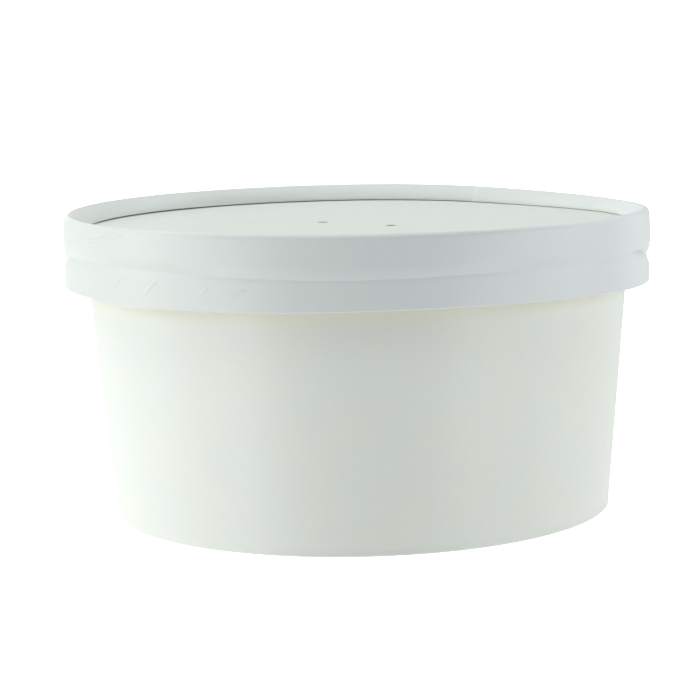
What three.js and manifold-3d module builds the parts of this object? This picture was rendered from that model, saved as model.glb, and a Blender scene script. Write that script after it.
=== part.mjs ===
// A shut takeaway salad bowl: a white paperboard bowl with a vented paperboard lid pressed over its rim.
//
// Millimetres, +Z up. The origin is the centre of the foot, on the surface that the bowl stands on, and
// +Y points away from the viewer. Four pieces, each turned about the Z axis:
//   bowl       the tapered wall, its rolled rim and folded foot. It is shut, so it is solid inside
//   base_disc  the bottom of the bowl, raised above the table and held over the folded foot
//   lid_ring   the band of the lid: two beads with a groove between them, folded over at the top
//   lid_disc   the top of the lid, sunk below the band's crest, with two steam vents
import * as THREE from "three";
import { mergeVertices } from "three/addons/utils/BufferGeometryUtils.js";
import Module from "manifold-3d";

const wasm = await Module();
wasm.setup();

// ---- Driving dimensions ----
const CREST_HEIGHT = 80.1; // table to the lid's crest, measured on the axis
const LID_RADIUS = 77.5; // outside of the band's upper bead
const SKIRT_HEIGHT = 18.7; // the band, crest to bottom edge
const LID_SINK = 4.6; // crest to the top face of the lid's disc
const LID_TILT = 0.4; // degrees: the lid sits a little lower at the right
const FOOT_RADIUS = 66.1; // outside of the wall at the table
const WALL_SLOPE = 0.0877; // radius gained for each millimetre of height
const RIM_RADIUS = 75.4; // outside of the bowl's rolled rim
const CURL_RADIUS = 1.6; // section of the rolled rim
const BOARD = 0.5; // thickness of the paperboard of wall and band
const DISC_BOARD = 0.6; // thickness of the flat discs of the lid and the base
const GAP = 0.3; // clearance between one piece and the next
const BASE_HEIGHT = 6; // table to the underside of the bowl's bottom
const FOOT_WIDTH = 2; // the folded foot: two plies of the wall and what they grip
const FOOT_FOLD_RADIUS = 0.5; // rounding of the foot's edges
const SEGMENTS = 80; // sides of every turned piece

// The groove between the beads. It opens more slowly upwards than downwards.
const GROOVE_HEIGHT = 69.7;
const GROOVE_DEPTH = 0.7;
const GROOVE_ABOVE = 2.8;
const GROOVE_BELOW = 1.3;
const LOWER_BEAD_INSET = 0.3; // the lower bead is slightly smaller than the upper one

// The band's top, which is folded inwards and slopes down to the disc.
const CREST_RADIUS = 1.2; // rounding of the crest
const CREST_TURN = 135; // degrees of rounding before the slope starts
const FOLD_RADIUS = 72.2; // inside of the fold's cut edge
const FOLD_LIP = 0.6; // the lowest part of the fold is steeper over this height
const HEM_HEIGHT = 2.6; // the band's bottom edge is turned up inside by this much

// The steam vents.
const VENT_RADIUS = 1.5;
const VENT_OFFSET = 11.1; // from the lid's centre to each vent
const VENT_AZIMUTH = 144.5; // degrees from +X to the first vent; the second is opposite
const WELL_RADIUS = 2.5; // the space kept open below each vent
const WELL_DEPTH = 6;

// Where a ply of board ends and laps over its other end.
const WALL_LAP = { azimuth: 118, step: 0.5, fade: 11 }; // behind, on the bowl's wall
const RING_LAP = { azimuth: 62, step: 0.3, fade: 9 }; // back right, on the band
const LAP_EDGE_DEGREES = 0.35; // width of the step itself

// The crest dips at the back right, where the fold is pressed down.
const CREST_DIP = { azimuth: 27, depth: 1.4, spread: 60 };

// ---- Worked out from them ----
const skirtBottom = CREST_HEIGHT - SKIRT_HEIGHT;
const discTop = CREST_HEIGHT - LID_SINK;
const discBottom = discTop - DISC_BOARD;
const tiltDrop = LID_RADIUS * Math.sin(THREE.MathUtils.degToRad(LID_TILT));
const bowlTop = discBottom - GAP - tiltDrop;
const wallRadius = (z) => FOOT_RADIUS + WALL_SLOPE * z;

// ---- Outlines: lists of [radius, height] ----

// The points of an arc in the outline's plane, from one angle to another in degrees.
function arc(radius, height, size, from, to, steps) {
  return Array.from({ length: steps + 1 }, (_, i) => {
    const angle = THREE.MathUtils.degToRad(from + ((to - from) * i) / steps);
    return [radius + size * Math.cos(angle), height + size * Math.sin(angle)];
  });
}

// A point at some depth inside the wall's outer face, measured level.
const insideWall = (depth, z) => [wallRadius(z) - depth, z];

// ---- Turned solids ----

// How far round one azimuth is from another, in degrees from 0 to 360.
const degreesPast = (azimuth, start) => (((azimuth - start) % 360) + 360) % 360;

// The azimuths of a turned piece's sides, with a narrow pair where a ply ends.
function stationsFor(lap) {
  const even = Array.from({ length: SEGMENTS }, (_, i) => (360 * i) / SEGMENTS);
  if (!lap) return even;
  const pair = [lap.azimuth - LAP_EDGE_DEGREES / 2, lap.azimuth + LAP_EDGE_DEGREES / 2];
  return [...even, ...pair].sort((a, b) => a - b);
}

// Turns an outline about Z. relief(azimuth, radius, height) shifts each point off the axis by [out, up].
function turned(outline, lap, relief = () => [0, 0]) {
  const stations = stationsFor(lap);
  const points = outline.map(([radius, height]) => new THREE.Vector2(radius, height));
  const geometry = new THREE.LatheGeometry(points, stations.length);
  const position = geometry.getAttribute("position");
  for (let i = 0; i < position.count; i++) {
    const azimuth = stations[Math.floor(i / points.length) % stations.length];
    const { x: radius, y: height } = points[i % points.length];
    const [out, up] = radius > 0 ? relief(azimuth, radius, height) : [0, 0];
    const angle = THREE.MathUtils.degToRad(azimuth);
    position.setXYZ(i, (radius + out) * Math.cos(angle), (radius + out) * Math.sin(angle), height + up);
  }
  return geometry;
}

// How far the lapping ply stands out: full at its edge, fading out over some degrees.
function lapHeight(azimuth, lap) {
  const past = degreesPast(azimuth, lap.azimuth);
  return past < lap.fade ? lap.step * (1 - THREE.MathUtils.smoothstep(past, 0, lap.fade)) : 0;
}

// ---- Cutting ----

function toSolid(geometry) {
  const bare = new THREE.BufferGeometry().setAttribute("position", geometry.getAttribute("position"));
  bare.setIndex(geometry.index);
  const merged = mergeVertices(bare, 1e-4);
  return new wasm.Manifold(
    new wasm.Mesh({
      numProp: 3,
      vertProperties: new Float32Array(merged.getAttribute("position").array),
      triVerts: new Uint32Array(merged.index.array),
    }),
  );
}

function toGeometry(solid) {
  const mesh = solid.getMesh();
  return new THREE.BufferGeometry()
    .setAttribute("position", new THREE.BufferAttribute(mesh.vertProperties, 3))
    .setIndex(new THREE.BufferAttribute(mesh.triVerts, 1));
}

// Cuts an upright round hole at the place of each vent, between two heights.
function cutAtVents(geometry, radius, from, to) {
  const holeAt = (azimuth) => {
    const angle = THREE.MathUtils.degToRad(azimuth);
    return new THREE.CylinderGeometry(radius, radius, to - from, 24)
      .rotateX(Math.PI / 2)
      .translate(VENT_OFFSET * Math.cos(angle), VENT_OFFSET * Math.sin(angle), (from + to) / 2);
  };
  const holes = [VENT_AZIMUTH, VENT_AZIMUTH + 180].map((azimuth) => toSolid(holeAt(azimuth)));
  return toGeometry(holes.reduce((solid, hole) => solid.subtract(hole), toSolid(geometry)));
}

// ---- Bowl ----

// The wall's lower edge is folded inwards and up to make the foot, and its top is rolled outwards.
function bowlGeometry() {
  const ceiling = BASE_HEIGHT + DISC_BOARD + GAP;
  const footTop = BASE_HEIGHT - GAP;
  const curlHeight = bowlTop - CURL_RADIUS;
  const wallTop = curlHeight - CURL_RADIUS;
  const footInner = FOOT_RADIUS - FOOT_WIDTH;
  const outline = [
    [0, ceiling],
    insideWall(BOARD, ceiling),
    insideWall(BOARD, footTop),
    insideWall(FOOT_WIDTH, footTop),
    ...arc(footInner + FOOT_FOLD_RADIUS, FOOT_FOLD_RADIUS, FOOT_FOLD_RADIUS, 180, 270, 3),
    ...arc(FOOT_RADIUS - FOOT_FOLD_RADIUS, FOOT_FOLD_RADIUS, FOOT_FOLD_RADIUS, 270, 360, 3),
    insideWall(0, wallTop),
    ...arc(RIM_RADIUS - CURL_RADIUS, curlHeight, CURL_RADIUS, -100, 90, 8),
    [0, bowlTop],
  ];
  const onWall = (radius, height) => height <= wallTop && radius > wallRadius(height) - 0.1;
  const relief = (azimuth, radius, height) => [
    onWall(radius, height) ? lapHeight(azimuth, WALL_LAP) : 0,
    0,
  ];
  return cutAtVents(turned(outline, WALL_LAP, relief), WELL_RADIUS, bowlTop - WELL_DEPTH, bowlTop + 1);
}

function baseDiscGeometry() {
  const edge = BOARD + GAP;
  const top = BASE_HEIGHT + DISC_BOARD;
  return turned([[0, BASE_HEIGHT], insideWall(edge, BASE_HEIGHT), insideWall(edge, top), [0, top]]);
}

// ---- Lid ----

// How far a height is from the groove's bottom: 0 there, 1 or more where the band is straight.
function awayFromGroove(z) {
  return z > GROOVE_HEIGHT ? (z - GROOVE_HEIGHT) / GROOVE_ABOVE : (GROOVE_HEIGHT - z) / GROOVE_BELOW;
}

// Outside of the band at a height between its bottom edge and the crest's fold.
function bandRadius(z) {
  const away = Math.min(1, awayFromGroove(z));
  const inset = z < GROOVE_HEIGHT ? LOWER_BEAD_INSET * away : 0;
  return LID_RADIUS - inset - GROOVE_DEPTH * (1 - away) ** 2;
}

// The section of the band: up the outside, over the crest, down to the disc, and back along the inside.
function ringOutline() {
  const crest = [LID_RADIUS - CREST_RADIUS, CREST_HEIGHT - CREST_RADIUS];
  const below = [-1, -0.65, -0.3].map((step) => GROOVE_HEIGHT + step * GROOVE_BELOW);
  const above = [0, 0.15, 0.35, 0.6, 1].map((step) => GROOVE_HEIGHT + step * GROOVE_ABOVE);
  const bandHeights = [...below, ...above];
  const edgeRadius = 0.45;
  const lowerBead = LID_RADIUS - LOWER_BEAD_INSET;
  const hemInner = lowerBead - 2 * BOARD - 0.1;
  const foldEdge = discTop + GAP;
  const outline = [
    ...arc(hemInner + edgeRadius, skirtBottom + edgeRadius, edgeRadius, 180, 270, 2),
    ...arc(lowerBead - edgeRadius, skirtBottom + edgeRadius, edgeRadius, 270, 360, 3),
    ...bandHeights.map((z) => [bandRadius(z), z]),
    ...arc(...crest, CREST_RADIUS, 0, CREST_TURN, 7),
    [FOLD_RADIUS + 0.2, foldEdge + FOLD_LIP],
    [FOLD_RADIUS, foldEdge],
    [FOLD_RADIUS + BOARD, foldEdge],
    [FOLD_RADIUS + BOARD + 0.1, foldEdge + FOLD_LIP / 2],
    ...arc(...crest, CREST_RADIUS - BOARD, CREST_TURN, 0, 5),
    ...bandHeights.map((z) => [bandRadius(z) - BOARD, z]).reverse(),
    [lowerBead - BOARD, skirtBottom + HEM_HEIGHT],
    [hemInner, skirtBottom + HEM_HEIGHT],
  ];
  return [...outline, outline[0]];
}

function lidRingGeometry() {
  const relief = (azimuth, radius, height) => {
    const away = Math.abs(degreesPast(azimuth - CREST_DIP.azimuth, -180) - 180) / CREST_DIP.spread;
    const dip = away < 1 ? CREST_DIP.depth * 0.5 * (1 + Math.cos(Math.PI * away)) : 0;
    const share = THREE.MathUtils.smoothstep(height, discTop + 0.5, CREST_HEIGHT - 1);
    return [lapHeight(azimuth, RING_LAP), -dip * share];
  };
  return turned(ringOutline(), RING_LAP, relief);
}

function lidDiscGeometry() {
  const edge = LID_RADIUS - BOARD - GAP;
  const disc = turned([[0, discBottom], [edge, discBottom], [edge, discTop], [0, discTop]]);
  return cutAtVents(disc, VENT_RADIUS, discBottom - 1, discTop + 1);
}

// ---- The object ----

const WALL_WHITE = 0xe3e8e0; // coated board, a touch green
const BAND_WHITE = 0xdfe5e8; // the band's paper is a touch blue
const DISC_WHITE = 0xe4eae3;

function board(name, geometry, color, roughness) {
  const mesh = new THREE.Mesh(geometry, new THREE.MeshStandardMaterial({ color, roughness, metalness: 0 }));
  mesh.name = name;
  return mesh;
}

// The lid turns by its tilt about a level line through the middle of its disc.
const lid = new THREE.Group();
lid.add(board("lid_ring", lidRingGeometry(), BAND_WHITE, 0.42));
lid.add(board("lid_disc", lidDiscGeometry(), DISC_WHITE, 0.5));
lid.children.forEach((piece) => piece.position.setZ(-discTop));
lid.position.setZ(discTop);
lid.rotation.y = THREE.MathUtils.degToRad(LID_TILT);

const saladBowl = new THREE.Group();
saladBowl.add(board("bowl", bowlGeometry(), WALL_WHITE, 0.45));
saladBowl.add(board("base_disc", baseDiscGeometry(), WALL_WHITE, 0.5));
saladBowl.add(lid);

export default saladBowl;
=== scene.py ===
"""A shut takeaway salad bowl of white paperboard, dressed for Blender 4.5.

The CAD model gives the frame: the origin is the centre of the foot, +Z up, +Y away from the viewer. Each
of its four nodes is replaced by a finer mesh with the same form: the bowl, its bottom disc, the lid's band
and the lid's disc. The object's sizes are written in millimetres, those of the camera, the stage and the
lights in metres, and angles in degrees. An azimuth runs counterclockwise from +X, so 270 faces the viewer.
"""

import math

import bmesh
import bpy
import numpy as np
from mathutils import Matrix, Vector


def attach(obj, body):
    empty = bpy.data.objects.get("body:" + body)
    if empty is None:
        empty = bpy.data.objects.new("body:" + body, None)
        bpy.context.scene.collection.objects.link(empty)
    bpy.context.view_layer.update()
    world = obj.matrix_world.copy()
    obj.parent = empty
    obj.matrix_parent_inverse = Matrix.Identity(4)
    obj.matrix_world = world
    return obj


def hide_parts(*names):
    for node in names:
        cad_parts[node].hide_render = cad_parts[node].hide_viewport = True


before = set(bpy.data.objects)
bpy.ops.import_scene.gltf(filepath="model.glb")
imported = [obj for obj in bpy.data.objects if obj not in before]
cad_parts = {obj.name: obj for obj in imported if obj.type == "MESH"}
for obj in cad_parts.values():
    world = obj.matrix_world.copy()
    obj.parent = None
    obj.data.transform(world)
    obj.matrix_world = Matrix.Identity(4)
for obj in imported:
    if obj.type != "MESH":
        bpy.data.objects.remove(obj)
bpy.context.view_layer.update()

MM = 0.001

# ---- Driving dimensions, as in the CAD model ----
CREST_HEIGHT = 80.1  # table to the lid's crest, on the axis
LID_RADIUS = 77.5  # outside of the upper bead
SKIRT_BOTTOM = 61.4  # lower edge of the band
LID_SINK = 4.6  # crest to the lid's disc
LID_TILT = 0.4  # the lid sits a little lower at the right
FOOT_RADIUS = 66.1  # outside of the wall at the table
WALL_SLOPE = 0.0877  # radius gained for each millimetre of height
RIM_RADIUS = 75.4  # outside of the bowl's rolled rim
CURL_RADIUS = 1.6  # section of the rolled rim
BOARD = 0.5  # thickness of the wall and the band
DISC_BOARD = 0.6  # thickness of the lid's disc and the base
GAP = 0.3  # clearance between one piece and the next
BASE_HEIGHT = 6.0  # table to the underside of the base
FOOT_WIDTH = 2.0  # the folded foot
FOOT_FOLD_RADIUS = 0.5  # rounding of the foot's edges
CREST_RADIUS = 1.2  # rounding of the band's crest
CREST_TURN = 135  # degrees of rounding before the fold slopes down to the disc
FOLD_RADIUS = 72.2  # inside of the fold's cut edge
FOLD_LIP = 0.6  # the lowest part of the fold is steeper over this height
HEM_HEIGHT = 2.6  # the band's lower edge is turned up inside by this much
HEM_SPACE = 0.1  # between the two plies of the hem
GROOVE_ABOVE = 2.8  # the upper bead slopes in to the groove over this height
GROOVE_BELOW = 1.3  # and the lower bead comes out again over this one
LOWER_BEAD_INSET = 0.3  # the lower bead is slightly smaller than the upper one
VENT_RADIUS = 1.5
VENT_OFFSET = 11.1  # from the lid's middle to each vent
VENT_AZIMUTH = 144.5  # the second vent is opposite
WELL_RADIUS = 2.5  # the space kept open in the bowl below each vent
WELL_DEPTH = 6.0

# ---- Finer than in the CAD model ----
CREST_SHOULDER = 1.5  # height of the crest's rounding on the outside
FOLD_BOW = 0.3  # the fold's slope is slightly full
LIP_WIDTH = 0.15  # how far the fold's lip leans in
HEM_RADIUS = 0.25  # rounding of the band's lower edge
GROOVE_HEIGHT = 70.0  # the groove, before its waves and its deeper stretches
GROOVE_DEPTH = 0.4
GROOVE_FLARE_ABOVE = 1.6  # powers that narrow the groove towards its bottom
GROOVE_FLARE_BELOW = 2
WALL_START = 1.0  # height where the wall rises from the foot's rounding
BASE_ROUNDING = 0.2
WALL_INSET = 0.19  # the uneven wall keeps back by this much
BAND_INSET = 0.11  # the uneven band too
CREST_DROP = 0.07  # and the crest is lower by this, away from its rise

# ---- Worked out from them ----
DISC_TOP = CREST_HEIGHT - LID_SINK
DISC_BOTTOM = DISC_TOP - DISC_BOARD
TILT_DROP = LID_RADIUS * math.sin(math.radians(LID_TILT))
BOWL_TOP = DISC_BOTTOM - GAP - TILT_DROP
CURL_HEIGHT = BOWL_TOP - CURL_RADIUS
WALL_TOP = CURL_HEIGHT - CURL_RADIUS
CREST_START = CREST_HEIGHT - CREST_SHOULDER

# ---- Uneven places: azimuth, size and spread in degrees ----
WALL_BULGES = [(187.0, 0.25, 12.0)]  # the wall is a little out of round
BAND_BULGES = [(346.0, 0.38, 7.0), (193.0, 0.28, 8.0)]  # and the band
LOWER_BULGES = [(190.0, 0.18, 14.0), (348.0, 0.1, 12.0)]  # and its lower bead more so
EDGE_WAVES = [(224.0, -0.65, 7.0), (285.0, 0.65, 20.0), (342.0, -0.65, 13.0)]  # of the band's lower edge
GROOVE_WAVES = [(214.0, 0.65, 14.0), (268.0, -0.65, 14.0), (184.0, -1.8, 6.0), (354.5, -4.3, 5.5)]
GROOVE_DEEPER = [(188.0, 0.4, 13.0), (90.0, 0.3, 50.0), (356.0, 2.1, 12.0)]
DEEPER_SPREAD = 1.5  # the deeper stretches of the groove are wider by this factor
CREST_RISE = [(262.0, 0.42, 30.0)]  # the crest stands a little higher in front
CREST_DIP = {"azimuth": 27.0, "depth": 1.4, "spread": 60.0}  # and is pressed down here
DISC_SAG = [(40.0, -0.78, 19.0)]  # the disc, the fold and the bowl's top sit lower here
DISC_RISE = 0.08  # the disc's edge comes up to the fold
DISC_RISE_WAVES = [(150.0, -0.12, 30.0), (30.0, 0.08, 25.0)]

# Where a ply of board ends and laps over its other end.
WALL_LAP = {"azimuth": 118.0, "step": 0.5, "fade": 11.0}  # behind, on the wall
RING_LAP = {"azimuth": 62.0, "step": 0.3, "fade": 9.0}  # back right, on the band
LAP_EDGE = 0.35  # width of the step itself, in degrees

# A slow unevenness all round: count of waves, size, and phase in radians.
WALL_TONES = [(3, 0.05, 1.1), (5, 0.035, 0.4), (9, 0.02, 2.6), (14, 0.012, 0.9), (23, 0.006, 2.2)]
BAND_TONES = [(4, 0.05, 0.7), (7, 0.035, 2.9), (11, 0.025, 1.3), (19, 0.015, 0.2), (31, 0.008, 2.0)]
DISC_TONES = [(2, 0.06, 0.4), (3, 0.05, 2.1), (5, 0.03, 1.2)]

# The heights over which the unevenness grows or fades, from below.
WALL_RIPPLE_GROWS = (2, 30)
BOWL_SAG_GROWS = (66, 70.5)
EDGE_WAVES_FADE = (62.5, 68)
GROOVE_WAVES_GROW = (61.9, 69.2)
GROOVE_WAVES_FADE = (72, 78.5)
LOWER_BULGES_FADE = (67.5, 69.5)
BAND_BULGES_FADE = (75, 80)
CREST_MOVE_GROWS = (DISC_TOP + 0.5, CREST_HEIGHT - 1)
FOLD_SAG_FADES = (DISC_TOP + 0.4, CREST_HEIGHT - 1)
CREASES_END = CREST_HEIGHT - 0.4
# And the radii, from the axis outwards.
SAG_GROWS = (40, 68)
BAND_BULGES_GROW = (74, 76)
DISC_RISE_GROWS = (0, 68)
DISC_RIPPLE_GROWS = (14, 30)
DISC_RIPPLE_FADES = (62, 72)

# Creases of the band's paper: from azimuth, height to azimuth, height; lift and half width in millimetres.
CREASES = [
    (199.5, 73.5, 209.5, 75.9, 0.16, 0.28),
    (208.0, 75.3, 222.0, 78.8, 0.26, 0.26),
    (209.5, 76.8, 217.5, 78.4, 0.22, 0.22),
    (217.8, 65.2, 220.8, 67.4, 0.14, 0.28),
    (227.8, 65.1, 230.6, 67.9, 0.12, 0.26),
    (240.2, 64.8, 242.2, 67.5, 0.12, 0.28),
    (245.8, 64.8, 249.2, 67.0, 0.14, 0.30),
    (274.2, 63.9, 275.6, 65.6, 0.07, 0.30),
    (306.4, 65.6, 306.7, 68.6, -0.12, 0.25),
    (318.5, 64.4, 320.5, 66.6, 0.07, 0.30),
]
# Small ones behind, at random: how many, and the least and most of each measure.
HIDDEN_CREASES = 16
HIDDEN_AZIMUTH = (5, 175)
HIDDEN_HEIGHT = (63.8, 65.4)
HIDDEN_TURN = (1, 3)
HIDDEN_RISE = (1.5, 2.6)
HIDDEN_LIFT = (0.05, 0.13)
HIDDEN_HALF_WIDTH = 0.28
CREASE_SEED = 12

# ---- Fineness of the meshes ----
WALL_STEP = 0.75  # degrees from one side of the turned piece to the next
BAND_STEP = 0.9
DISC_STEP = 2
CREASED_STRETCHES = [(197.0, 252.0, 0.25), (303.0, 309.0, 0.25)]  # from, to and step
HOLE_SIDES = 48
NEAR_FACE = 0.05  # a point this close to the outer face is on it
JOIN_DISTANCE = 1e-7  # metres
SHARP_ANGLE = 40
FACE, CUT, BACK = 0, 1, 2  # numbers of a piece's materials


# ---- Outlines: points of (radius, height) ----


def arc(radius, height, size, start, end, steps):
    """Points of an arc in the outline's plane, from one angle to another in degrees."""
    angles = np.radians(np.linspace(start, end, steps + 1))
    return [(radius + size * math.cos(a), height + size * math.sin(a)) for a in angles]


def line(start, end, steps):
    """Points from start up to, but without, end."""
    return [tuple(p) for p in np.linspace(start, end, steps, endpoint=False)]


def bowed(start, end, bow, steps):
    """Points from start up to, but without, end, on a line that bows out to the right of its way by bow."""
    (x0, y0), (x1, y1) = start, end
    across, rise = x1 - x0, y1 - y0
    length = math.hypot(across, rise)
    points = []
    for i in range(steps):
        share = i / steps
        out = 4 * bow * share * (1 - share) / length
        points.append((x0 + across * share + rise * out, y0 + rise * share - across * out))
    return points


def inside_wall(depth, height):
    """A point at some depth behind the wall's outer face."""
    return (FOOT_RADIUS + WALL_SLOPE * height - depth, height)


# ---- Unevenness ----


def growing(span, value):
    """0 up to the span's start, 1 from its end on, and smooth between."""
    low, high = span
    share = np.clip((value - low) / (high - low), 0, 1)
    return share * share * (3 - 2 * share)


def fading(span, value):
    """1 up to the span's start and 0 from its end on."""
    return 1 - growing(span, value)


def turn_between(azimuth, centre):
    """Degrees from centre to azimuth, from -180 to 180."""
    return (azimuth - centre + 180) % 360 - 180


def waves(azimuth, bumps):
    """The sum of smooth bumps, each an azimuth, a size and a spread."""
    total = 0 * azimuth
    for centre, size, spread in bumps:
        total = total + size * np.exp(-0.5 * (turn_between(azimuth, centre) / spread) ** 2)
    return total


def ripple(azimuth, tones):
    """A slow unevenness round the axis: each tone has a count of waves, a size and a phase."""
    angle = np.radians(azimuth)
    return sum(size * np.sin(count * angle + phase) for count, size, phase in tones)


def disc_sag(azimuth, radius):
    """How far the lid's disc, and what lies under it, is pressed down near the band."""
    return waves(azimuth, DISC_SAG) * growing(SAG_GROWS, radius)


def lap(azimuth, ply):
    """How far the lapping ply stands out: full at its edge, fading over some degrees."""
    past = (azimuth - ply["azimuth"]) % 360
    return np.where(past < ply["fade"], ply["step"] * fading((0, ply["fade"]), past), 0)


# ---- Turned meshes ----


def stations(step, ply=None, fine=()):
    """Azimuths round the axis, closer in fine stretches of (start, end, step) and at a ply's end."""
    found = list(np.arange(0, 360, step))
    for start, end, fine_step in fine:
        found = [a for a in found if not start <= a <= end] + list(np.arange(start, end, fine_step))
    if ply:
        found += [ply["azimuth"] - LAP_EDGE / 2, ply["azimuth"] + LAP_EDGE / 2]
    return np.unique(np.round(found, 4))


def round_faces(rows, columns, closed):
    """Faces between each row of points and the next, all the way round. Closed rows join at their ends."""
    faces = []
    for i in range(rows):
        here, there = i * columns, (i + 1) % rows * columns
        for j in range(columns if closed else columns - 1):
            k = (j + 1) % columns
            faces.append((here + j, there + j, there + k, here + k))
    return faces


def turned(name, outline, azimuths, shift, materials, finishes=None, tilted=False):
    """A mesh turned about Z. shift(azimuth, radius, height) gives each point's way out and up.

    An outline that starts on the axis ends there too, and any other is closed. finishes has the number of
    the material for the stretch from each point of the outline to the next.
    """
    radius, height = np.array(outline).T
    turn = azimuths[:, None]
    out, up = shift(turn, radius[None, :], height[None, :])
    radii = np.where(radius > 0, radius + out, 0)
    heights = height + up + 0 * turn
    angle = np.radians(turn)
    points = np.stack([radii * np.cos(angle), radii * np.sin(angle), heights], -1).reshape(-1, 3)
    if tilted:
        points = tilt(points)

    rows = len(azimuths)
    faces = round_faces(rows, len(outline), closed=radius[0] > 0)
    mesh = bpy.data.meshes.new(name)
    mesh.from_pydata((points * MM).tolist(), [], faces)
    for material in materials:
        mesh.materials.append(material)
    if finishes:
        mesh.polygons.foreach_set("material_index", finishes[: len(faces) // rows] * rows)
    return tidy_mesh(name, mesh)


def tilt(points):
    """Turns the lid's points by its tilt, about a level line through the middle of its disc's top."""
    cosine, sine = math.cos(math.radians(LID_TILT)), math.sin(math.radians(LID_TILT))
    x, y, z = points[:, 0], points[:, 1], points[:, 2] - DISC_TOP
    return np.stack([x * cosine + z * sine, y, z * cosine - x * sine + DISC_TOP], -1)


def tidy_mesh(name, mesh):
    """Joins the points on the axis, drops empty faces and shades it smooth but for its sharp edges."""
    work = bmesh.new()
    work.from_mesh(mesh)
    bmesh.ops.remove_doubles(work, verts=work.verts, dist=JOIN_DISTANCE)
    bmesh.ops.dissolve_degenerate(work, edges=work.edges, dist=JOIN_DISTANCE)
    bmesh.ops.recalc_face_normals(work, faces=work.faces)
    work.to_mesh(mesh)
    work.free()
    mesh.polygons.foreach_set("use_smooth", [True] * len(mesh.polygons))
    mesh.set_sharp_from_angle(angle=math.radians(SHARP_ANGLE))
    piece = bpy.data.objects.new(name, mesh)
    bpy.context.scene.collection.objects.link(piece)
    return piece


def vent_cutter(radius, low, high):
    """An upright cylinder at the place of each vent, between two heights."""
    work = bmesh.new()
    for azimuth in (VENT_AZIMUTH, VENT_AZIMUTH + 180):
        angle = math.radians(azimuth)
        place = Vector((VENT_OFFSET * math.cos(angle), VENT_OFFSET * math.sin(angle), (low + high) / 2))
        bmesh.ops.create_cone(
            work,
            cap_ends=True,
            segments=HOLE_SIDES,
            radius1=radius * MM,
            radius2=radius * MM,
            depth=(high - low) * MM,
            matrix=Matrix.Translation(place * MM),
        )
    mesh = bpy.data.meshes.new("drill")
    work.to_mesh(mesh)
    work.free()
    cutter = bpy.data.objects.new("drill", mesh)
    bpy.context.scene.collection.objects.link(cutter)
    return cutter


def drill(piece, radius, low, high):
    """Cuts a round hole at the place of each vent, between two heights."""
    cutter = vent_cutter(radius, low, high)
    cut = piece.modifiers.new("vents", "BOOLEAN")
    cut.operation = "DIFFERENCE"
    cut.solver = "EXACT"
    cut.object = cutter
    bpy.context.view_layer.update()
    made = bpy.data.meshes.new_from_object(piece.evaluated_get(bpy.context.evaluated_depsgraph_get()))
    piece.modifiers.clear()
    piece.data = made
    made.name = piece.name
    mesh = cutter.data
    bpy.data.objects.remove(cutter)
    bpy.data.meshes.remove(mesh)


# ---- Materials ----

# Coated board: sizes and depths of its features in millimetres.
CLOUD_SIZE = 16  # clouds of tint
CLOUD_RANGE = (0.35, 0.65)  # of the noise, from no cloud to a full one
FLECK_SIZE = 1.6
FLECK_RANGE = (0.45, 0.75)
FLECK_SHARE = 0.35  # how strong a full fleck is
FLECK_DARKNESS = 0.97  # its colour is the board's by this factor
SHEEN_SIZE = 5  # patches where the film is smoother or rougher
SHEEN_SPREAD = 0.04  # up and down from the board's roughness
DENT_SIZE, DENT_DEPTH = 3.5, 0.03
FIBRE_SIZE, FIBRE_DEPTH = 0.45, 0.012
FIBRE_STRETCH = (1, 1, 1.6)
FILM_GRAIN = 0.35  # strength of the dents and fibres
COAT_ROUGHNESS = 0.3
BOARD_IOR = 1.5

# Raw board.
LAYER_SIZE = 0.25
LAYER_STRETCH = (3, 3, 0.5)
RAW_SIZE, RAW_DEPTH = 0.3, 0.05
RAW_GRAIN = 0.6
RAW_SHEEN_SIZE = 1.0
RAW_ROUGHNESS = (0.82, 0.95)
RAW_IOR = 1.4

# Where a painted cool tint, for the cooler light from the right, comes in: from left to right in front, and
# by a set share behind.
COOL_LIGHT_ACROSS = (-60 * MM, 25 * MM)
COOL_LIGHT_BEHIND = (-10 * MM, 20 * MM)
COOL_LIGHT_BACK_SHARE = 0.2
# The heights over which a painted warm shade, for the shade and bounced light under the band, comes in.
WARM_SHADE_HEIGHTS = ((SKIRT_BOTTOM - 5) * MM, (SKIRT_BOTTOM - 1) * MM)


def feed(tree, socket, value):
    """Links a socket to an input, or sets the input to a value."""
    if isinstance(value, bpy.types.NodeSocket):
        tree.links.new(value, socket)
    else:
        socket.default_value = value


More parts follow.
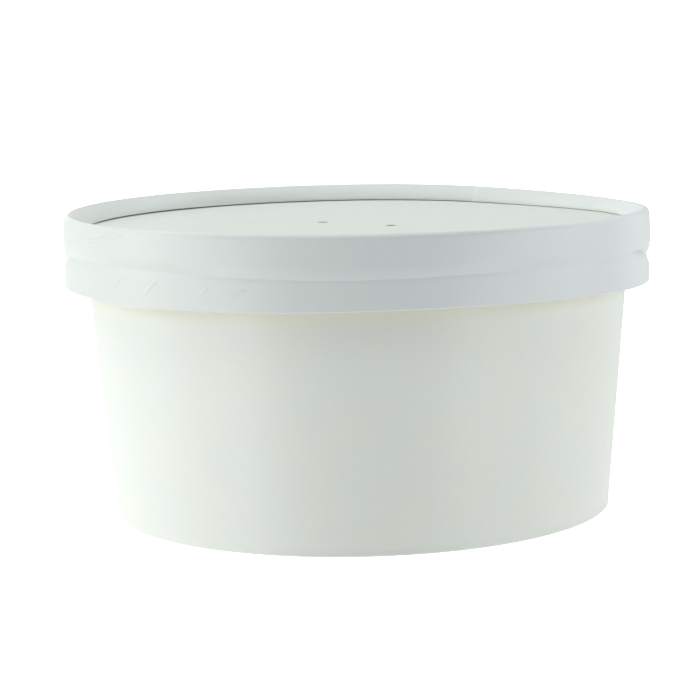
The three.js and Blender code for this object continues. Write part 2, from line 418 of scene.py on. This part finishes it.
class Nodes:
    """A short way to write a material's node tree."""

    def __init__(self, name):
        self.material = bpy.data.materials.new(name)
        self.material.use_nodes = True
        self.tree = self.material.node_tree
        self.shader = self.tree.nodes["Principled BSDF"]
        self.place = self.add("ShaderNodeTexCoord").outputs["Object"]

    def add(self, kind, inputs=None, **settings):
        node = self.tree.nodes.new(kind)
        for key, value in settings.items():
            setattr(node, key, value)
        for key, value in (inputs or {}).items():
            feed(self.tree, node.inputs[key], value)
        return node

    def shade(self, inputs):
        for key, value in inputs.items():
            feed(self.tree, self.shader.inputs[key], value)

    def axis(self, letter):
        return self.add("ShaderNodeSeparateXYZ", {"Vector": self.place}).outputs[letter]

    def noise(self, size_mm, detail=3.0, stretch=(1, 1, 1)):
        """Noise with features of about that size, stretched by a factor along each axis."""
        scale = tuple(1 / s for s in stretch)
        place = self.add("ShaderNodeMapping", {"Vector": self.place, "Scale": scale}).outputs[0]
        inputs = {"Vector": place, "Scale": 1 / (size_mm * MM), "Detail": detail}
        return self.add("ShaderNodeTexNoise", inputs).outputs["Fac"]

    def ranged(self, value, low, high, start=0.3, end=0.7):
        """The value, from start to end, spread over low to high."""
        inputs = {"Value": value, "From Min": start, "From Max": end, "To Min": low, "To Max": high}
        return self.add("ShaderNodeMapRange", inputs).outputs[0]

    def mix(self, share, first, second):
        """Two colours mixed. The node has other sockets named A and B, so these go by number."""
        inputs = {"Factor": share, 6: first, 7: second}
        return self.add("ShaderNodeMix", inputs, data_type="RGBA").outputs[2]

    def bump(self, height, depth_mm, strength, normal=None):
        inputs = {"Height": height, "Distance": depth_mm * MM, "Strength": strength}
        if normal is not None:
            inputs["Normal"] = normal
        return self.add("ShaderNodeBump", inputs).outputs[0]


def cool_light_share(n):
    """How much of the painted cool tint, for the light from the right, each place gets."""
    across = n.ranged(n.axis("X"), 0, 1, *COOL_LIGHT_ACROSS)
    behind = n.ranged(n.axis("Y"), 0, 1, *COOL_LIGHT_BEHIND)
    inputs = {"Factor": behind, "A": across, "B": COOL_LIGHT_BACK_SHARE}
    return n.add("ShaderNodeMix", inputs).outputs["Result"]


def coated_board(name, colour, warmer, roughness, coat, cool_light_tint=None, warm_shade_tint=None):
    """Coated white paperboard: faint clouds of tint, fine fibres under a thin, slightly uneven film.

    A painted cool tint, for the cooler light from the right, comes in from left to right. A painted warm
    shade, for the shade and bounced light under the band, comes in just below the band's lower edge.
    """
    n = Nodes(name)
    base = n.mix(n.ranged(n.noise(CLOUD_SIZE), 0, 1, *CLOUD_RANGE), (*colour, 1), (*warmer, 1))
    if cool_light_tint:
        # Painted light: a cooler tint where the light from the right falls.
        base = n.mix(cool_light_share(n), base, (*cool_light_tint, 1))
    if warm_shade_tint:
        # Painted shade: a warm tint of the shade and bounced light just under the band.
        base = n.mix(n.ranged(n.axis("Z"), 0, 1, *WARM_SHADE_HEIGHTS), base, (*warm_shade_tint, 1))
    darker = tuple(FLECK_DARKNESS * c for c in colour)
    flecks = n.ranged(n.noise(FLECK_SIZE), 0, FLECK_SHARE, *FLECK_RANGE)
    sheen = n.ranged(n.noise(SHEEN_SIZE), roughness - SHEEN_SPREAD, roughness + SHEEN_SPREAD)
    dents = n.bump(n.noise(DENT_SIZE, 2), DENT_DEPTH, FILM_GRAIN)
    fibres = n.noise(FIBRE_SIZE, stretch=FIBRE_STRETCH)
    n.shade({
        "Base Color": n.mix(flecks, base, (*darker, 1)),
        "Roughness": sheen,
        "Normal": n.bump(fibres, FIBRE_DEPTH, FILM_GRAIN, dents),
        "IOR": BOARD_IOR,
        "Coat Weight": coat,
        "Coat Roughness": COAT_ROUGHNESS,
    })
    return n.material


def raw_board(name, colour, streak):
    """Uncoated board: a cut edge or an inner side, with fibres in layers."""
    n = Nodes(name)
    layers = n.ranged(n.noise(LAYER_SIZE, stretch=LAYER_STRETCH), 0, 1)
    n.shade({
        "Base Color": n.mix(layers, (*colour, 1), (*streak, 1)),
        "Roughness": n.ranged(n.noise(RAW_SHEEN_SIZE, 2), *RAW_ROUGHNESS),
        "Normal": n.bump(n.noise(RAW_SIZE), RAW_DEPTH, RAW_GRAIN),
        "IOR": RAW_IOR,
    })
    return n.material


# The wall's warm tint just under the band is painted shade and bounced light.
WALL = coated_board(
    "bowl_board", (0.793, 0.850, 0.791), (0.801, 0.850, 0.783), 0.42, 0.12, warm_shade_tint=(0.834, 0.852, 0.725)
)
# The band's cool tint towards the right is painted light from that side.
BAND = coated_board(
    "band_paper", (0.706, 0.760, 0.716), (0.706, 0.760, 0.724), 0.40, 0.15, cool_light_tint=(0.710, 0.757, 0.770)
)
DISC = coated_board("lid_board", (0.698, 0.763, 0.707), (0.704, 0.763, 0.699), 0.40, 0.15)
BASE = coated_board("base_board", (0.790, 0.838, 0.775), (0.80, 0.838, 0.765), 0.6, 0.0)
CUT_EDGE = raw_board("cut_edge", (0.66, 0.60, 0.47), (0.76, 0.71, 0.59))
INNER_PLY = raw_board("inner_ply", (0.44, 0.40, 0.32), (0.52, 0.48, 0.39))


# ---- The bowl ----


def bowl_outline():
    """The bowl's section: over the base, down the folded foot, up the wall, over the rim and shut."""
    ceiling = BASE_HEIGHT + DISC_BOARD + GAP
    foot_top = BASE_HEIGHT - GAP
    foot_inner = FOOT_RADIUS - FOOT_WIDTH
    above_base = inside_wall(BOARD, ceiling)
    ply_edge = inside_wall(BOARD, foot_top)
    inner = [*line((0, ceiling), above_base, 6), *line(above_base, ply_edge, 2)]
    outer = [
        *line(inside_wall(FOOT_WIDTH, foot_top), (foot_inner, FOOT_FOLD_RADIUS), 8),
        *arc(foot_inner + FOOT_FOLD_RADIUS, FOOT_FOLD_RADIUS, FOOT_FOLD_RADIUS, 180, 270, 6),
        *arc(FOOT_RADIUS - FOOT_FOLD_RADIUS, FOOT_FOLD_RADIUS, FOOT_FOLD_RADIUS, 270, 360, 8),
        *line(inside_wall(0, WALL_START), inside_wall(0, WALL_TOP), 60),
        inside_wall(0, WALL_TOP),
        *arc(RIM_RADIUS - CURL_RADIUS, CURL_HEIGHT, CURL_RADIUS, -100, 90, 18),
        *line((RIM_RADIUS - CURL_RADIUS - 1, BOWL_TOP), (0, BOWL_TOP), 8),
        (0, BOWL_TOP),
    ]
    finishes = [FACE] * len(inner) + [CUT] + [FACE] * len(outer)
    return [*inner, ply_edge, *outer], finishes


def bowl_shift(azimuth, radius, height):
    """The wall's lap and unevenness, and the sag of the bowl's top below the lid's."""
    wall_face = FOOT_RADIUS + WALL_SLOPE * height
    on_wall = (radius > wall_face - NEAR_FACE) & (height >= WALL_START) & (height <= WALL_TOP)
    rippled = ripple(azimuth, WALL_TONES) * growing(WALL_RIPPLE_GROWS, height)
    uneven = rippled - WALL_INSET + waves(azimuth, WALL_BULGES)
    up = disc_sag(azimuth, radius) * growing(BOWL_SAG_GROWS, height)
    return np.where(on_wall, lap(azimuth, WALL_LAP) + uneven, 0), up


def make_bowl():
    """The wall, foot and rim. It is shut on top, with a well below each vent."""
    outline, finishes = bowl_outline()
    azimuths = stations(WALL_STEP, WALL_LAP)
    piece = turned("bowl_shell", outline, azimuths, bowl_shift, [WALL, CUT_EDGE], finishes)
    drill(piece, WELL_RADIUS, BOWL_TOP - WELL_DEPTH, BOWL_TOP + 1)
    return piece


def make_base():
    """The bowl's raised bottom, with a rounded edge."""
    edge = BOARD + GAP
    top = BASE_HEIGHT + DISC_BOARD
    low_radius = inside_wall(edge, BASE_HEIGHT)[0] - BASE_ROUNDING
    top_radius = inside_wall(edge, top)[0] - BASE_ROUNDING
    outline = [
        *line((0, BASE_HEIGHT), (low_radius, BASE_HEIGHT), 24),
        *arc(low_radius, BASE_HEIGHT + BASE_ROUNDING, BASE_ROUNDING, 270, 360, 3),
        *arc(top_radius, top - BASE_ROUNDING, BASE_ROUNDING, 0, 90, 3),
        (0, top),
    ]
    return turned("bowl_base", outline, stations(DISC_STEP), lambda a, r, h: (0 * a, 0 * a), [BASE])


# ---- The lid's band ----


def groove_share(height, spread=1.0):
    """How deep the groove is at a height: 1 at its bottom, 0 on the beads."""
    above = np.clip(1 - (height - GROOVE_HEIGHT) / (GROOVE_ABOVE * spread), 0, 1)
    below = np.clip(1 - (GROOVE_HEIGHT - height) / (GROOVE_BELOW * spread), 0, 1)
    return np.where(height > GROOVE_HEIGHT, above**GROOVE_FLARE_ABOVE, below**GROOVE_FLARE_BELOW)


def band_radius(height):
    """Outside of the band at a height between its lower edge and the crest's fold."""
    share = groove_share(height)
    lower = np.where(height < GROOVE_HEIGHT, LOWER_BEAD_INSET * (1 - share), 0)
    return LID_RADIUS - GROOVE_DEPTH * share - lower


def all_creases():
    """The creases that the photo shows, and small ones at random where it doesn't reach."""
    draw = np.random.default_rng(CREASE_SEED)
    found = list(CREASES)
    for azimuth in draw.uniform(*HIDDEN_AZIMUTH, HIDDEN_CREASES):
        height = draw.uniform(*HIDDEN_HEIGHT)
        end = (azimuth + draw.uniform(*HIDDEN_TURN), height + draw.uniform(*HIDDEN_RISE))
        found.append((azimuth, height, *end, draw.uniform(*HIDDEN_LIFT), HIDDEN_HALF_WIDTH))
    return found


def crease_lift(azimuth, height):
    """How far the band's creases stand out at each point of its face."""
    total = np.zeros(np.broadcast_shapes(azimuth.shape, height.shape))
    mm_per_degree = math.radians(1) * LID_RADIUS
    for start, low, end, high, lift, half_width in all_creases():
        along = np.array([(end - start) * mm_per_degree, high - low])
        length = math.hypot(*along)
        along = along / length
        side = turn_between(azimuth, start) * mm_per_degree
        rise = height - low
        share = np.clip((side * along[0] + rise * along[1]) / length, 0, 1)
        away = np.hypot(side - share * length * along[0], rise - share * length * along[1])
        total = total + lift * np.exp(-((away / half_width) ** 2))
    return total


def band_heights():
    """Heights of the points on the band's face, closer together in the groove."""
    coarse, fine = 0.3, 0.2
    groove_start, groove_end = 67, 73.2
    return [
        *np.arange(SKIRT_BOTTOM + HEM_RADIUS + coarse, groove_start, coarse),
        *np.arange(groove_start, groove_end, fine),
        *np.arange(groove_end, CREST_START - 0.1, coarse),
    ]


def crest_outline(crest):
    """Over the crest: the outer quarter is stretched down to the shoulder, and the rest is round."""
    quarter = arc(*crest, CREST_RADIUS, 0, 90, 18)
    outside = [(r, CREST_START + (z - crest[1]) * CREST_SHOULDER / CREST_RADIUS) for r, z in quarter]
    return outside + arc(*crest, CREST_RADIUS, 90, CREST_TURN, 8)[1:]


def ring_outline():
    """The band's section: its lower edge, up the outside, over the crest, down to the disc, back inside."""
    crest = (LID_RADIUS - CREST_RADIUS, CREST_HEIGHT - CREST_RADIUS)
    lower_bead = LID_RADIUS - LOWER_BEAD_INSET
    hem_inner = lower_bead - 2 * BOARD - HEM_SPACE
    fold_edge = DISC_TOP + GAP
    heights = band_heights()
    over_crest = crest_outline(crest)
    lip_top = (FOLD_RADIUS + LIP_WIDTH, fold_edge + FOLD_LIP)
    face = [
        *arc(hem_inner + HEM_RADIUS, SKIRT_BOTTOM + HEM_RADIUS, HEM_RADIUS, 180, 270, 5),
        *arc(lower_bead - HEM_RADIUS, SKIRT_BOTTOM + HEM_RADIUS, HEM_RADIUS, 270, 360, 6),
        *[(float(band_radius(z)), z) for z in heights],
        *over_crest[:-1],
        *bowed(over_crest[-1], lip_top, FOLD_BOW, 14),
        *line(lip_top, (FOLD_RADIUS, fold_edge), 3),
    ]
    inside = [
        (FOLD_RADIUS + BOARD, fold_edge),
        (FOLD_RADIUS + BOARD + 0.1, fold_edge + FOLD_LIP / 2),
        *arc(*crest, CREST_RADIUS - BOARD, CREST_TURN, 0, 8),
        *[(float(band_radius(z)) - BOARD, z) for z in heights[::-4]],
        (lower_bead - BOARD, SKIRT_BOTTOM + HEM_HEIGHT),
        (hem_inner, SKIRT_BOTTOM + HEM_HEIGHT),
    ]
    finishes = [FACE] * len(face) + [CUT] + [BACK] * (len(inside) - 2) + [CUT, FACE]
    return [*face, (FOLD_RADIUS, fold_edge), *inside], finishes


def crest_move(azimuth):
    """How far the crest is raised, or lowered where it is pressed down."""
    away = np.clip(np.abs(turn_between(azimuth, CREST_DIP["azimuth"])) / CREST_DIP["spread"], 0, 1)
    dip = CREST_DIP["depth"] * 0.5 * (1 + np.cos(math.pi * away))
    return waves(azimuth, CREST_RISE) - CREST_DROP - dip


def ring_up(azimuth, radius, height):
    """How far the band is raised: the waves of its groove and lower edge, its crest, and the fold's sag."""
    in_groove = waves(azimuth, GROOVE_WAVES) * fading(GROOVE_WAVES_FADE, height)
    up = in_groove * growing(GROOVE_WAVES_GROW, height)
    up = up + waves(azimuth, EDGE_WAVES) * fading(EDGE_WAVES_FADE, height)
    up = up + crest_move(azimuth) * growing(CREST_MOVE_GROWS, height)
    on_fold = fading(FOLD_SAG_FADES, height) * (height > DISC_TOP)
    return up + disc_sag(azimuth, radius) * on_fold * (radius < LID_RADIUS - CREST_RADIUS)


def ring_out(azimuth, radius, height):
    """How far the band stands out: its deeper groove, bulges, lap, ripple and creases."""
    out = -waves(azimuth, GROOVE_DEEPER) * groove_share(height, DEEPER_SPREAD) * (height < CREST_START)
    out = out + waves(azimuth, LOWER_BULGES) * fading(LOWER_BULGES_FADE, height)
    bulges = waves(azimuth, BAND_BULGES) * growing(BAND_BULGES_GROW, radius)
    out = out + bulges * fading(BAND_BULGES_FADE, height)
    out = out + lap(azimuth, RING_LAP) + (ripple(azimuth, BAND_TONES) - BAND_INSET)
    creased = (radius > band_radius(height) - NEAR_FACE) & (height < CREASES_END)
    return out + np.where(creased, crease_lift(azimuth, height), 0)


def ring_shift(azimuth, radius, height):
    return ring_out(azimuth, radius, height), ring_up(azimuth, radius, height)


def make_ring():
    outline, finishes = ring_outline()
    azimuths = stations(BAND_STEP, RING_LAP, CREASED_STRETCHES)
    materials = [BAND, CUT_EDGE, INNER_PLY]
    return turned("lid_band", outline, azimuths, ring_shift, materials, finishes, tilted=True)


# ---- The lid's disc ----


def disc_shift(azimuth, radius, height):
    """The disc's ripple, its sag, and its top's rise to meet the fold."""
    free = growing(DISC_RIPPLE_GROWS, radius) * fading(DISC_RIPPLE_FADES, radius)
    rise = DISC_RISE + waves(azimuth, DISC_RISE_WAVES)
    on_top = height > (DISC_BOTTOM + DISC_TOP) / 2
    up = ripple(azimuth, DISC_TONES) * free + rise * growing(DISC_RISE_GROWS, radius) * on_top
    return 0 * azimuth, up + disc_sag(azimuth, radius)


def make_disc():
    """The lid's flat top, drilled upright and then tilted with the band."""
    edge = LID_RADIUS - BOARD - GAP
    outline = [
        *line((0, DISC_BOTTOM), (edge, DISC_BOTTOM), 10),
        (edge, DISC_BOTTOM),
        *line((edge, DISC_TOP), (0, DISC_TOP), 60),
        (0, DISC_TOP),
    ]
    piece = turned("lid_top", outline, stations(DISC_STEP), disc_shift, [DISC])
    drill(piece, VENT_RADIUS, DISC_BOTTOM - 1, DISC_TOP + 1)
    tilted = tilt(np.array([v.co for v in piece.data.vertices]) / MM) * MM
    piece.data.vertices.foreach_set("co", tilted.astype(np.float32).ravel())
    piece.data.update()
    return piece


def dress(piece, node):
    """Gives a piece the object's one body and hides the CAD node that it stands for."""
    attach(piece, "root")
    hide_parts(node)


dress(make_bowl(), "bowl")
dress(make_base(), "base_disc")
dress(make_ring(), "lid_ring")
dress(make_disc(), "lid_disc")


# ---- The camera, at the photograph's viewing angle ----

CAMERA_PLACE = Vector((0, -0.6521, 0.13769))
CAMERA_PITCH = math.radians(8.384)  # looking down
CAMERA_YAW = math.radians(-0.229)
CAMERA_ROLL = math.radians(-1.431)
CAMERA_LENS = 126.33  # millimetres
CAMERA_SENSOR = 36  # its width in millimetres
CAMERA_CLIP = (0.05, 30)


def make_camera():
    data = bpy.data.cameras.new("camera")
    data.lens = CAMERA_LENS
    data.sensor_width = CAMERA_SENSOR
    data.clip_start, data.clip_end = CAMERA_CLIP
    camera = bpy.data.objects.new("camera", data)
    bpy.context.scene.collection.objects.link(camera)
    level = math.cos(CAMERA_PITCH)
    forward = Vector(
        (math.sin(CAMERA_YAW) * level, math.cos(CAMERA_YAW) * level, -math.sin(CAMERA_PITCH))
    )
    right = Vector((math.cos(CAMERA_YAW), -math.sin(CAMERA_YAW), 0))
    above = right.cross(forward)
    side = math.cos(CAMERA_ROLL) * right + math.sin(CAMERA_ROLL) * above
    top = math.cos(CAMERA_ROLL) * above - math.sin(CAMERA_ROLL) * right
    turn = Matrix((side, top, -forward)).transposed()
    camera.matrix_world = Matrix.Translation(CAMERA_PLACE) @ turn.to_4x4()
    bpy.context.scene.camera = camera


# ---- The lights and the stage ----

# The light of the room: how bright it is towards each side, fading to nothing a quarter turn away.
ROOM_LIGHT = {"left": ((-1, 0, 0), 0.377), "back": ((0, 1, 0), 0.659), "below": ((0, 0, -1), 1.307)}
# Soft boxes that face the bowl: azimuth and height angle in degrees, distance, width and height in metres,
# and power in watts.
SOFT_BOXES = {
    "right_box": (0, 12, 1.3, 0.45, 0.9, 2.62),
    "back_right_box": (40, 12, 1.3, 0.45, 0.9, 1.17),
    "back_box": (105, 12, 1.8, 0.45, 0.9, 0.83),
    "left_box": (180, 12, 1.3, 0.45, 0.9, 3.33),
    "front_left_box": (200, 12, 1.3, 0.45, 0.9, 3.26),
    "front_right_box": (340, 12, 1.3, 0.45, 0.9, 3.82),
    "low_right_box": (0, -12, 1.3, 0.5, 0.35, 0.42),
    "low_left_box": (180, -12, 1.3, 0.5, 0.35, 0.30),
    "low_front_left_box": (220, -12, 1.3, 0.5, 0.35, 1.95),
    "low_front_right_box": (320, -12, 1.3, 0.5, 0.35, 1.72),
    "high_back_right_box": (40, 45, 1.3, 0.7, 0.4, 1.78),
    "high_back_left_box": (140, 45, 1.3, 0.7, 0.4, 1.60),
    "high_front_box": (270, 60, 1.3, 0.8, 0.5, 3.16),
    "high_left_box": (180, 60, 1.3, 0.8, 0.5, 2.33),
    "top_box": (90, 86, 1.26, 1.0, 1.0, 4.76),
}
BOWL_MIDDLE = Vector((0, 0, 0.04))
FLOOR_REACH = 3.0
COVE_RADIUS = 1.0
STAGE_HEIGHT = 3
STAGE_SIDES = 96
FLOOR_WHITE = (0.8, 0.8, 0.8, 1)
FLOOR_ROUGHNESS = 0.9
FLOOR_GLOW = 1.0


def maths(tree, kind, operation, *values):
    """A node that works out one operation on sockets or values."""
    node = tree.nodes.new(kind)
    node.operation = operation
    for socket, value in zip(node.inputs, values):
        feed(tree, socket, value)
    return node.outputs


def make_room_light():
    world = bpy.data.worlds.new("room")
    bpy.context.scene.world = world
    world.use_nodes = True
    tree = world.node_tree
    background = tree.nodes["Background"]
    background.inputs["Color"].default_value = (1, 1, 1, 1)
    direction = tree.nodes.new("ShaderNodeTexCoord").outputs["Generated"]
    total = 0
    for axis, strength in ROOM_LIGHT.values():
        facing = maths(tree, "ShaderNodeVectorMath", "DOT_PRODUCT", direction, axis)["Value"]
        ahead = maths(tree, "ShaderNodeMath", "MAXIMUM", facing, 0)[0]
        total = maths(tree, "ShaderNodeMath", "MULTIPLY_ADD", ahead, strength, total)[0]
    tree.links.new(total, background.inputs["Strength"])


def make_soft_box(name, azimuth, elevation, distance, width, height, power):
    data = bpy.data.lights.new(name, "AREA")
    data.shape = "RECTANGLE"
    data.size, data.size_y = width, height
    data.energy = power
    box = bpy.data.objects.new(name, data)
    bpy.context.scene.collection.objects.link(box)
    turn, rise = math.radians(azimuth), math.radians(elevation)
    level = math.cos(rise)
    away = Vector((level * math.cos(turn), level * math.sin(turn), math.sin(rise)))
    facing = (-away).to_track_quat("-Z", "Y").to_matrix().to_4x4()
    box.matrix_world = Matrix.Translation(BOWL_MIDDLE + distance * away) @ facing


def stage_mesh():
    """A floor that curves up into a wall all round, and a ceiling."""
    outline = [(0, 0), (FLOOR_REACH, 0)]
    outline += arc(FLOOR_REACH, COVE_RADIUS, COVE_RADIUS, 270, 360, 16)[1:]
    outline += [(FLOOR_REACH + COVE_RADIUS, STAGE_HEIGHT), (0, STAGE_HEIGHT)]
    points = []
    for i in range(STAGE_SIDES):
        angle = 2 * math.pi * i / STAGE_SIDES
        points += [(r * math.cos(angle), r * math.sin(angle), h) for r, h in outline]
    mesh = bpy.data.meshes.new("floor")
    mesh.from_pydata(points, [], round_faces(STAGE_SIDES, len(outline), closed=False))
    return mesh


def make_stage():
    """The stage glows white. The camera sees it, but the lights alone light the bowl."""
    n = Nodes("pale_floor")
    n.shade({
        "Base Color": FLOOR_WHITE,
        "Roughness": FLOOR_ROUGHNESS,
        "Emission Color": (1, 1, 1, 1),
        "Emission Strength": FLOOR_GLOW,
    })
    mesh = stage_mesh()
    mesh.materials.append(n.material)
    floor = tidy_mesh("floor", mesh)
    floor.visible_diffuse = False
    floor.visible_glossy = False
    floor.visible_transmission = False
    floor.visible_shadow = False


make_camera()
make_stage()
make_room_light()
for name, box in SOFT_BOXES.items():
    make_soft_box(name, *box)
bpy.context.scene.view_settings.view_transform = "Standard"
